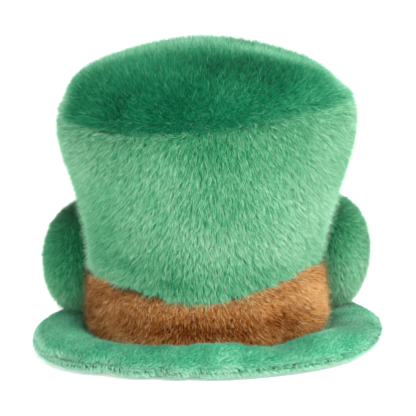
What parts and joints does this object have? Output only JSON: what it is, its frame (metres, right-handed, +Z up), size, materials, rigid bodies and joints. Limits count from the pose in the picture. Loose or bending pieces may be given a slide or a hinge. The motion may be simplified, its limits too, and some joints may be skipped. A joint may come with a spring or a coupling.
{
  "type": "leprechaun hat",
  "caption": "Small soft plush top hat with a flared padded crown, domed top, brown band, padded brim and a round puff on each side, open underneath.",
  "frame": {"origin": "on the surface that the hat rests on, under the middle of its bounding box", "axes": "+Z up; -Y towards the rear, the side that the picture shows; +X to the right as seen from the rear"},
  "size_m": [0.14, 0.137, 0.1206],
  "materials": {
    "green_plush": "brushed polyester plush, pile about 3 mm long, two-toned where the pile lies differently",
    "brown_plush": "brushed polyester plush, pile about 3 mm long",
    "short_green_plush": "short velvety polyester plush, pile about 1 mm long"
  },
  "bodies": {
    "root": {"crown_side": "green_plush", "crown_top": "green_plush", "band": "brown_plush", "brim_upper": "short_green_plush", "brim_under": "short_green_plush", "puff_left": "green_plush", "puff_right": "green_plush"}
  },
  "joints": []
}
